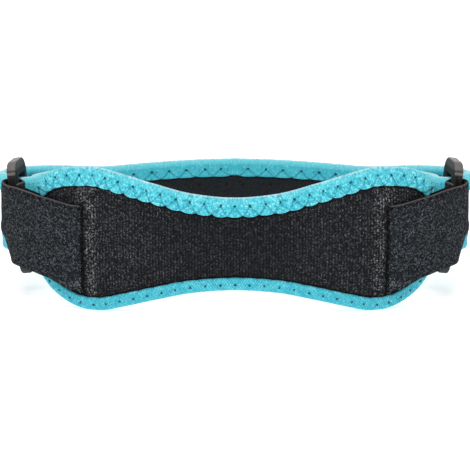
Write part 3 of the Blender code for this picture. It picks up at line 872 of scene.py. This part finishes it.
# The two straps: looped pile tape, sewn to the pad's ends, passed through a ring, turned
# round its front bar and pressed back on the pad's face.
STRAP_WIDTH = 37.5
STRAP_THICKNESS = 1.8
STRAP_SEWN_LENGTH = 12.0
STRAP_FREE_END = 30.3
STRAP_DROP = 5.0
STRAP_SETTLE = 8.0
STRAP_BULGE = 3.4
STRAP_WRAP = (188.0, -12.0)
STRAP_GATHER = 2.6
STRAP_GATHER_RUN = 12.0
STRAP_EDGE = 0.9
SEWN_POINTS = 40
PILE_SHIFT = 100.0
STRAP_ROWS = np.array([
    # up, how far it stands off the bar: shares of the width and of the bulge
    (0.00, 0.05), (0.19, 0.50), (0.31, 0.66), (0.40, 1.00), (0.56, 0.74), (0.79, 0.42), (1.00, 0.05),
])

strap_seat = max(pad_half(FRONT_TOP_WIDTH) + BINDING_GAP + BINDING_WALL, PAD_THICKNESS / 2)
strap_seat += BINDING_GAP + STRAP_THICKNESS / 2
strap_second = strap_seat + STRAP_THICKNESS + 2 * BINDING_GAP
front_bar = bar_place(-1)
sewn = PAD_HALF_LENGTH - STRAP_SEWN_LENGTH
free = PAD_HALF_LENGTH - STRAP_FREE_END
settle = sewn - STRAP_SETTLE


def pad_run(first, last, off):
    return np.stack(front.flat(np.linspace(first, last, SEWN_POINTS), off), -1)


strap_turn = arc(front_bar, BAR_CLEAR + STRAP_THICKNESS / 2, *STRAP_WRAP)
strap_line = joined(
    pad_run(sewn, sewn + STRAP_SEWN_LENGTH - 1, strap_seat),
    strap_turn,
    pad_run(PAD_HALF_LENGTH, PAD_HALF_LENGTH - STRAP_SEWN_LENGTH - 1, strap_second),
    pad_run(settle, free, strap_seat),
)
strap = Plan(strap_line, 1.0)
turn_start = strap.run[SEWN_POINTS + LINK_POINTS + ARC_POINTS // 3]
turn_end = strap.run[SEWN_POINTS + LINK_POINTS + ARC_POINTS + LINK_POINTS]
strap_middle = slot_low - STRAP_GATHER + STRAP_WIDTH / 2
free_x = front.flat(np.array([free]), strap_seat)[0][0]

STRAP_COLUMNS = 150
STRAP_FACE_ROWS = 74


def strap_place(run, up, side, raised):
    """A point of the right strap, in millimetres: up is its share of the width, side 1 on the
    hook face and -1 on the pile, raised how far it stands off the strap's middle."""
    x, y = strap.flat(run, side * raised)
    behind = front_bar[0] - strap.flat(run, 0.0)[0]
    drop = STRAP_DROP * ease(behind / (front_bar[0] - free_x))
    gather = STRAP_GATHER * (1 - ease(behind / STRAP_GATHER_RUN - 1))
    bulge = np.sin(math.pi * np.clip((run - turn_start) / (turn_end - turn_start), 0, 1)) ** 2
    stand_off = smooth_table(up, STRAP_ROWS, 1)
    height = strap_middle - drop + (up - 0.5) * STRAP_WIDTH + gather * (1 - up) ** 2
    return lean(np.stack([x + STRAP_BULGE * bulge * stand_off, y, height], -1))


def strap_shape(column, row):
    run = strap.length * column / STRAP_COLUMNS
    last = row == 2 * STRAP_FACE_ROWS
    inner = (row <= STRAP_FACE_ROWS) | last
    up = np.where(row <= STRAP_FACE_ROWS, row, 2 * STRAP_FACE_ROWS - row) / STRAP_FACE_ROWS
    from_edge = np.minimum(np.minimum(up, 1 - up) * STRAP_WIDTH, np.minimum(run, strap.length - run))
    thick = np.sqrt(np.clip(1 - (1 - np.clip(from_edge / STRAP_EDGE, 0, 1)) ** 2, 0, 1))
    side = np.where(inner, 1.0, -1.0)
    flat = np.stack([run, up * STRAP_WIDTH, side * 3], -1)
    pile = np.where(side < 0, 0.16, 0.05) * lumps(flat, 0.75, 6) + 0.12 * lumps(flat, 6.0, 7)
    places = strap_place(run, up, side, (STRAP_THICKNESS / 2 + pile) * thick)
    threads = np.stack([run, up * STRAP_WIDTH + np.where(inner, 0.0, PILE_SHIFT)], -1)
    return places, {"threads": threads}, {"from_top": (1 - up) * STRAP_WIDTH}


def pile_finish(name):
    """Black pile: tufted loops that catch the light at their tips, hooks on the other face made near black,
    which also stands as painted shade for the hollow inside the fold, a brownish selvedge with a row of
    stitches under it, and a paler patch at the free corner."""
    finish = Finish(name, 0.95, Specular_IOR_Level=0.1)
    along, across, place = finish.threads("threads")
    bent = finish.grain(place, 1.3, 1.0)
    bend = {0: (1.5, -1.1, 0.0), 1: bent, 2: place}
    bent_place = finish.node("ShaderNodeVectorMath", {"operation": "MULTIPLY_ADD"}, bend)
    value, middle = finish.cells(bent_place, 0.72)
    fine_value, _ = finish.cells(place, 0.5)
    patch = finish.grain(place, 8.0)
    pile_side = finish.between(across, 60.0, 80.0)
    from_top = finish.measure("from_top")
    # A paler patch on the pile at the lower corner of the free end.
    pale_mark = finish.between(along, strap.length - 9.0, strap.length - 4.0)
    pale_mark = pale_mark * finish.between(from_top, STRAP_WIDTH - 6.0, STRAP_WIDTH - 3.0)
    tip = value ** 4 * middle * 0.34 + fine_value ** 6 * 0.26
    tip = tip * (0.65 + patch * 0.7) * (1 + pale_mark * 0.8) * (0.1 + pile_side * 0.9)
    # The hook face is near black: the hooks' dark colour, and painted shade for the hollow inside the fold.
    ground = finish.mix(pile_side, (0.002, 0.0022, 0.0025, 1.0), (0.0075, 0.0095, 0.0120, 1.0))
    tone = finish.mix(tip, ground, (0.34, 0.37, 0.40, 1.0))
    stitched = finish.between(finish.maths("SINE", along * (2 * math.pi / 2.9)), -0.1, 0.5)
    stitched = stitched * finish.between(from_top, 0.9, 1.2) * finish.between(from_top, 2.1, 1.8)
    tone = finish.mix(stitched * 0.8, tone, (0.002, 0.002, 0.002, 1.0))
    selvedge = finish.between(from_top, 0.7, 0.4) * pile_side
    tone = finish.mix(selvedge * (0.3 + value * 0.7), tone, (0.27, 0.24, 0.235, 1.0))
    finish.wear(tone, tip * 1.2 + value * middle * 0.4 - stitched, 0.5)
    return finish.material


def turn_over(piece, mirror):
    """Mirrors a piece of the right strap for the left one."""
    if mirror < 0:
        piece.data.transform(Matrix.Diagonal((-1.0, 1.0, 1.0, 1.0)))
        piece.data.flip_normals()


strap_pile = pile_finish("strap_pile")
for word, mirror in (("left", -1.0), ("right", 1.0)):
    tape = cloth(f"{word}_pile_strap", STRAP_COLUMNS, 2 * STRAP_FACE_ROWS, strap_shape)
    turn_over(tape, mirror)
    tape.data.materials.append(strap_pile)
    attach(tape, "root")
    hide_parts(f"{word}_strap")


# The two rings: moulded satin plastic, almost black, with flat faces, eased edges and thicker ends, scuffed
# in streaks along the bars, with painted light on the top corners, a painted highlight line below them and
# painted shade on the inner side.
RING_END_BAR = 6.5
RING_HEIGHT = SLOT_HEIGHT + 2 * RING_END_BAR
RING_CORNER = 5.6
LIT_TOP_DEPTH = 4.0
HIGHLIGHT_LINE_DEPTH = 4.7


def picked(mesh, kind, test):
    """Selects the faces or edges that pass a test, and nothing else, in edit mode."""
    bpy.ops.mesh.select_all(action="DESELECT")
    shape = bmesh.from_edit_mesh(mesh)
    for element in getattr(shape, kind):
        if test(element):
            element.select_set(True)
    shape.select_flush_mode()
    bmesh.update_edit_mesh(mesh)


def moulded_ring(name, side):
    bpy.ops.object.select_all(action="DESELECT")
    bpy.ops.mesh.primitive_cube_add(size=1.0)
    ring = bpy.context.object
    ring.name = ring.data.name = name
    mesh = ring.data
    bpy.ops.object.mode_set(mode="EDIT")
    bpy.ops.mesh.select_mode(type="EDGE")
    bpy.ops.transform.resize(value=(RING_BAR * MM, RING_DEPTH * MM, RING_HEIGHT * MM))
    picked(mesh, "edges", lambda e: abs(e.verts[0].co.x - e.verts[1].co.x) > RING_BAR * MM / 2)
    bpy.ops.mesh.bevel(offset=RING_CORNER * MM, segments=10)
    bpy.ops.mesh.select_mode(type="FACE")
    picked(mesh, "faces", lambda f: abs(f.normal.x) > 0.9)
    bpy.ops.mesh.inset(thickness=RING_BAR * MM)
    bpy.ops.transform.resize(value=(1.0, 1.0, SLOT_HEIGHT / (RING_HEIGHT - 2 * RING_BAR)))
    bpy.ops.mesh.bridge_edge_loops()
    bpy.ops.mesh.select_mode(type="EDGE")
    picked(mesh, "edges", lambda e: len(e.link_faces) == 2 and e.calc_face_angle() > 1.2)
    bpy.ops.mesh.bevel(offset=RING_BAR_CORNER * MM, segments=4)
    bpy.ops.mesh.select_all(action="SELECT")
    bpy.ops.mesh.remove_doubles(threshold=0.00001)
    end_editing()
    local = mesh.attributes.new("local", "FLOAT_VECTOR", "POINT")
    for vertex, entry in zip(mesh.vertices, local.data):
        entry.vector = Vector((side * vertex.co.x, vertex.co.y, vertex.co.z)) / MM
    turned = Matrix.Rotation(side * RING_YAW, 4, "Z") @ Matrix.Rotation(side * RING_TILT, 4, "Y")
    mesh.transform(Matrix.Translation(Vector((side * RING_X, RING_Y, RING_Z)) * MM) @ turned)
    bpy.ops.object.shade_smooth_by_angle(angle=math.radians(50))
    return ring


def ring_finish(name):
    """Satin plastic: streaked, with painted shade tinged turquoise on the inner side, painted light on the
    top corners and a painted highlight line below them. All but the grain follows the ring's own places."""
    finish = Finish(name, 0.45, Specular_IOR_Level=0.3)
    place = finish.node("ShaderNodeTexCoord", {}, {}, 3)
    streak = finish.grain(place, 0.9 * MM, 3.0, 0.65, (1.0, 1.0, 0.12))
    fine = finish.grain(place, 0.35 * MM, 2.0, 0.6)
    dark, scuffed = (0.008, 0.008, 0.0095, 1.0), (0.036, 0.034, 0.033, 1.0)
    tone = finish.mix(finish.between(streak, 0.35, 0.7), dark, scuffed)
    local = finish.measure("local", 1)
    out = finish.part(local, 0)
    from_top = RING_HEIGHT / 2 - finish.part(local, 2)
    outer = finish.between(out, -2.0, -1.5)
    # Painted shade on the inner side, tinged turquoise as the binding's colour reflected in it.
    tone = finish.mix((1 - outer) * 0.7, tone, (0.008, 0.028, 0.036, 1.0))
    # Painted light on the top corners, where the top face catches the light.
    painted_light_patch = finish.between(from_top, LIT_TOP_DEPTH, LIT_TOP_DEPTH - 1.4)
    painted_light_patch = painted_light_patch * (0.5 + outer * 0.5) * (0.55 + fine * 0.6)
    tone = finish.mix(painted_light_patch, tone, (0.155, 0.147, 0.140, 1.0))
    # Painted highlight: a pale line across the outer face below the top corners.
    pale_mark = finish.between(finish.maths("ABSOLUTE", from_top - HIGHLIGHT_LINE_DEPTH), 0.9, 0.3) * outer
    tone = finish.mix(pale_mark * 0.8, tone, (0.20, 0.195, 0.19, 1.0))
    rough = finish.between(streak + fine * 0.3, 0.4, 0.9, 0.34, 0.58)
    rough = rough + (1 - outer) * 0.4
    finish.wear(tone, streak * 0.7 + fine * 0.3, 0.06, rough)
    return finish.material


ring_plastic = ring_finish("ring_plastic")
for word, side in (("left", -1.0), ("right", 1.0)):
    ring = moulded_ring(f"{word}_moulded_ring", side)
    ring.data.materials.append(ring_plastic)
    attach(ring, "root")
    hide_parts(f"{word}_ring")


# The studio: a floor of white paper that glows a little, so that it stays white, a soft light
# from in front and above, and softer ones over the strap and behind it.
def soft_light(name, place, size, power, aim=(0.0, 0.0, 0.03)):
    lamp = bpy.data.lights.new(name, "AREA")
    lamp.shape = "RECTANGLE"
    lamp.size, lamp.size_y = size
    lamp.energy = power
    holder = bpy.data.objects.new(name, lamp)
    holder.location = place
    holder.rotation_euler = (Vector(aim) - Vector(place)).to_track_quat("-Z", "Y").to_euler()
    bpy.context.scene.collection.objects.link(holder)


bpy.ops.object.select_all(action="DESELECT")
bpy.ops.mesh.primitive_plane_add(size=12.0)
floor = bpy.context.object
floor.name = "studio_floor"
paper = Finish("studio_paper", 0.9, Specular_IOR_Level=0.1)
paper.shader.inputs["Base Color"].default_value = (0.9, 0.9, 0.9, 1.0)
paper.shader.inputs["Emission Color"].default_value = (1.0, 1.0, 1.0, 1.0)
paper.shader.inputs["Emission Strength"].default_value = 0.62
floor.data.materials.append(paper.material)

soft_light("key_light", (-0.1, -0.85, 1.0), (0.55, 0.4), 8.5)
soft_light("top_light", (0.0, 0.1, 1.2), (0.9, 0.6), 5.0)
soft_light("back_light", (0.0, 1.1, 0.5), (1.4, 0.5), 5.0)
world = bpy.data.worlds.new("studio")
world.use_nodes = True
world.node_tree.nodes["Background"].inputs[0].default_value = (1.0, 1.0, 1.0, 1.0)
world.node_tree.nodes["Background"].inputs[1].default_value = 0.3
bpy.context.scene.world = world
bpy.context.scene.view_settings.view_transform = "Standard"

# The camera looks along +Y and 12 degrees down, as the photograph does. Its frame is as wide
# at the strap as the photograph's, and its shift puts the strap at the photograph's height.
CAMERA_DROP = math.radians(12.0)
CAMERA_DISTANCE = 1.0
FRAME_WIDTH = 0.20694
AIM_HEIGHT = 0.0301
PICTURE = 470
AIM_ROW = 223.5
camera_data = bpy.data.cameras.new("photo_camera")
camera_data.sensor_width = 36.0
camera_data.lens = camera_data.sensor_width * CAMERA_DISTANCE / FRAME_WIDTH
camera_data.shift_y = -(PICTURE / 2 - AIM_ROW) / PICTURE
camera = bpy.data.objects.new("photo_camera", camera_data)
back_off = math.cos(CAMERA_DROP) * CAMERA_DISTANCE
raised = math.sin(CAMERA_DROP) * CAMERA_DISTANCE
camera.location = (0.0, -back_off, AIM_HEIGHT + raised)
camera.rotation_euler = (math.pi / 2 - CAMERA_DROP, 0.0, 0.0)
bpy.context.scene.collection.objects.link(camera)
bpy.context.scene.camera = camera
